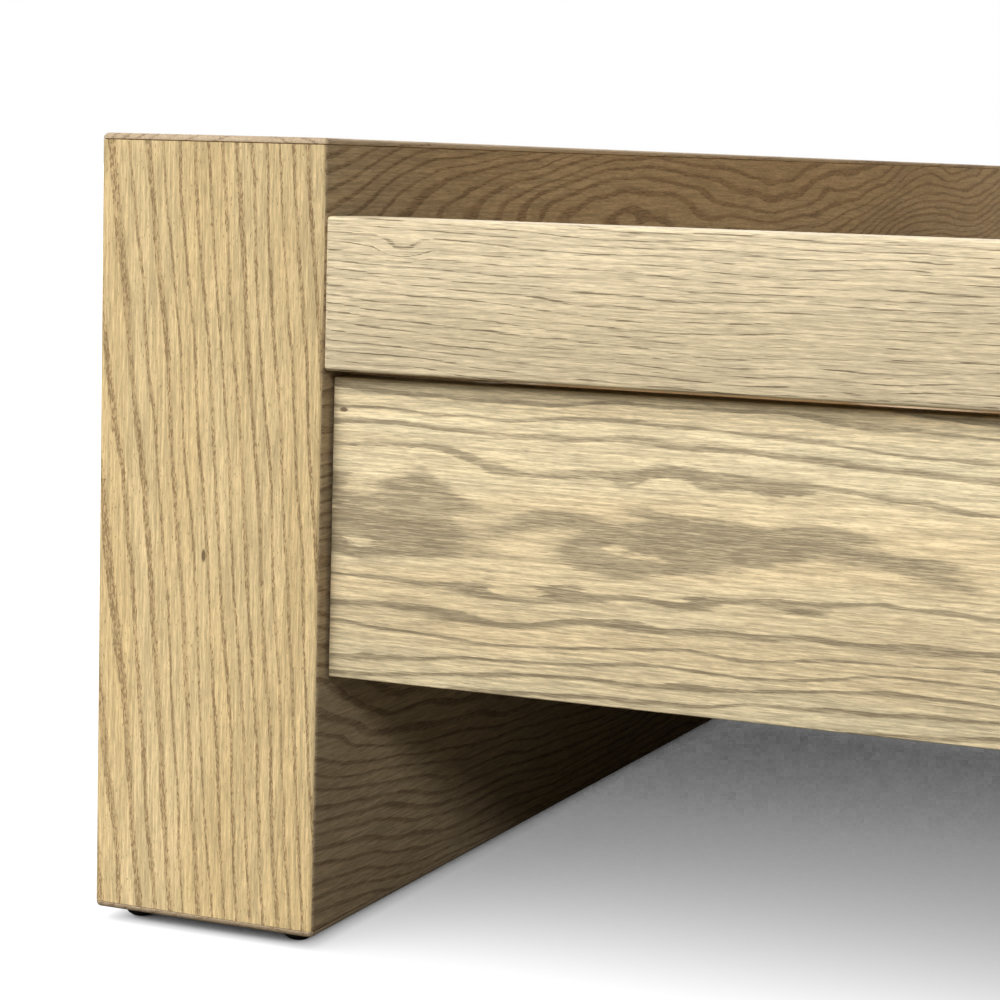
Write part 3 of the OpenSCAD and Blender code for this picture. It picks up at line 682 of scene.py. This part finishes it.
BOX_ROUND_OVER = 2.5 * MM
BOX_EASING = 0.8 * MM
BOX_ARRIS = 60 * MM

seed = 40.0
for side in ("right", "left"):
    for end in ("foot", "head"):
        body = f"{side}_{end}_drawer"
        for part, axes in (("back", ("Y", "Z", "X")), ("foot_side", ("X", "Z", "Y")),
                           ("head_side", ("X", "Z", "Y")), ("bottom", ("X", "Y", "Z"))):
            node = f"{side}_{end}_{part}"
            low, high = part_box(node)
            bm = copy_of(node)
            if part != "bottom":
                top = [e for e in straight_arrises(bm, BOX_ARRIS)
                       if min(v.co.z for v in e.verts) > high.z - MM]
                ease(bm, top, BOX_ROUND_OVER)
                rest = [e for e in straight_arrises(bm, BOX_ARRIS)
                        if max(v.co.z for v in e.verts) < high.z - 4 * MM]
                ease(bm, rest, BOX_EASING, 2)
            seed += 1.7
            material = birch_ply(f"birch {side} {end} {part.replace('_', ' ')}", axes, low, high, seed)
            finish_mesh(bm, f"birch_{node}", material, body, "birch_plywood", node)

# ---- Drawer fronts -------------------------------------------------------------------------
# Flat-sawn oak fronts without handles, set back behind the rails. A rebate behind the lower
# edge takes the fingertips.

FRONT_EASING = 0.6 * MM

for side, out in (("right", 1), ("left", -1)):
    for end, along in (("foot", -1), ("head", 1)):
        name = f"{side}_{end}_front"
        low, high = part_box(name)
        bm = copy_of(name)
        ease(bm, straight_arrises(bm, 5 * MM), FRONT_EASING, 2)
        face_x = high.x if out > 0 else low.x
        heart = ((low.z + high.z) / 2 / MM + 4, face_x / MM - out * 80)
        knot = (low.y / MM + 5, high.z / MM - 14, 5.0, 2.6)
        material = oak(f"oak {side} {end} front", ("Y", "Z", "X"), heart, SAND_OAK, 42.5 + out + 2 * along,
                       ring=4.3, taper=0.012, wander=12.0, ripple=3.4, ragged=0.5, spring_share=0.34,
                       grey=0.9, vessel=(8, 0.32), depth=0.5, contrast=1.9, start=-95.0,
                       pin=knot if (side, end) == ("right", "foot") else None)
        finish_mesh(bm, f"oak_{name}", material, f"{side}_{end}_drawer", "oak", name)

# ---- Floor, lights and camera --------------------------------------------------------------
# A floor that glows white to the camera, with painted shade round and under the bed, a soft key
# light from the front, a low one that reaches in under the drawers, and weaker lights from behind
# and from beyond the head.

FLOOR_REACH = 60.0
# The camera sees it glow, with painted shade where things stand over it: dimmed gently by anything
# within SHADE_REACH, and down to black where almost nothing is open within CONTACT_REACH
FLOOR_GLOW = 1.40
SHADE_REACH = 3.0
SHADE_FALL = 0.44
CONTACT_REACH = 80 * MM
CONTACT_FALL = 0.15

bm = bmesh.new()
bmesh.ops.create_grid(bm, x_segments=1, y_segments=1, size=FLOOR_REACH)
mesh = bpy.data.meshes.new("studio_floor")
bm.to_mesh(mesh)
bm.free()
floor = bpy.data.objects.new("studio_floor", mesh)
bpy.context.scene.collection.objects.link(floor)
paper = Graph("white floor glow with painted shade")
sky_seen = paper.node("AmbientOcclusion", {"samples": 64}, Distance=SHADE_REACH).outputs["AO"]
clear = paper.node("AmbientOcclusion", {"samples": 24}, Distance=CONTACT_REACH).outputs["AO"]
# Painted shade: the glow falls off with ambient occlusion from the bed, not with the lamps' light
shade = paper.maths("MULTIPLY", paper.maths("POWER", sky_seen, SHADE_FALL), FLOOR_GLOW)
shade = paper.maths("MULTIPLY", paper.ramp(clear, 0.0, CONTACT_FALL), shade)
glow = paper.node("Emission", Color=(1, 1, 1, 1), Strength=shade)
# Other rays meet a dim warm floor instead, which sets the light it bounces up
dim = paper.node("BsdfDiffuse", Color=(0.17, 0.158, 0.135, 1))
seen = paper.node("MixShader", i0=paper.node("LightPath").outputs["Is Camera Ray"],
                  i1=dim.outputs[0], i2=glow.outputs[0])
paper.feed(paper.tree.nodes["Material Output"].inputs["Surface"], seen.outputs[0])
mesh.materials.append(paper.material)


def sun(name, towards, strength, softness):
    """A distant light that shines towards a direction; its softness is its breadth in degrees."""
    light = bpy.data.lights.new(name, "SUN")
    light.energy = strength
    light.angle = math.radians(softness)
    lamp = bpy.data.objects.new(name, light)
    bpy.context.scene.collection.objects.link(lamp)
    lamp.rotation_mode = "QUATERNION"
    lamp.rotation_quaternion = Vector(towards).to_track_quat("-Z", "Y")


sun("key", (-0.591, 0.341, -0.731), 4.1, 38)
sun("low", (-0.76, -0.46, -0.46), 0.74, 12)
sun("back", (0.785, 0.453, -0.423), 1.3, 50)
sun("end", (0.203, -0.957, -0.208), 0.50, 14)

world = bpy.data.worlds.new("white studio")
bpy.context.scene.world = world
world.use_nodes = True
tree = world.node_tree
backdrop = tree.nodes["Background"]
backdrop.inputs["Color"].default_value = (1, 1, 1, 1)
rays = tree.nodes.new("ShaderNodeLightPath")
strength = tree.nodes.new("ShaderNodeMapRange")
strength.inputs["To Min"].default_value = 0.10
strength.inputs["To Max"].default_value = 1.0
tree.links.new(rays.outputs["Is Camera Ray"], strength.inputs["Value"])
tree.links.new(strength.outputs[0], backdrop.inputs["Strength"])

bpy.context.scene.view_settings.view_transform = "Standard"

# The camera stands beyond the slab's lower inner corner and looks down at it from the side
LENS = 98.34
STAND_OFF = Vector((1.0463, 0.5286, 0.3422))
TURN = math.radians(23.01)
DIP = math.radians(7.07)
TILT = math.radians(1.59)
inner_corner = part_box("foot_inner_panel")[1]
low_corner = Vector((inner_corner.x, inner_corner.y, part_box("foot_bottom_cap")[0].z))
camera = bpy.data.objects.new("camera", bpy.data.cameras.new("camera"))
bpy.context.scene.collection.objects.link(camera)
bpy.context.scene.camera = camera
camera.data.lens = LENS
camera.data.sensor_width = 36
camera.data.clip_end = 200
camera.location = low_corner + STAND_OFF
aim = Vector((-math.cos(TURN) * math.cos(DIP), -math.sin(TURN) * math.cos(DIP), -math.sin(DIP)))
camera.rotation_mode = "QUATERNION"
camera.rotation_quaternion = aim.to_track_quat("-Z", "Y") @ Quaternion((0, 0, 1), TILT)
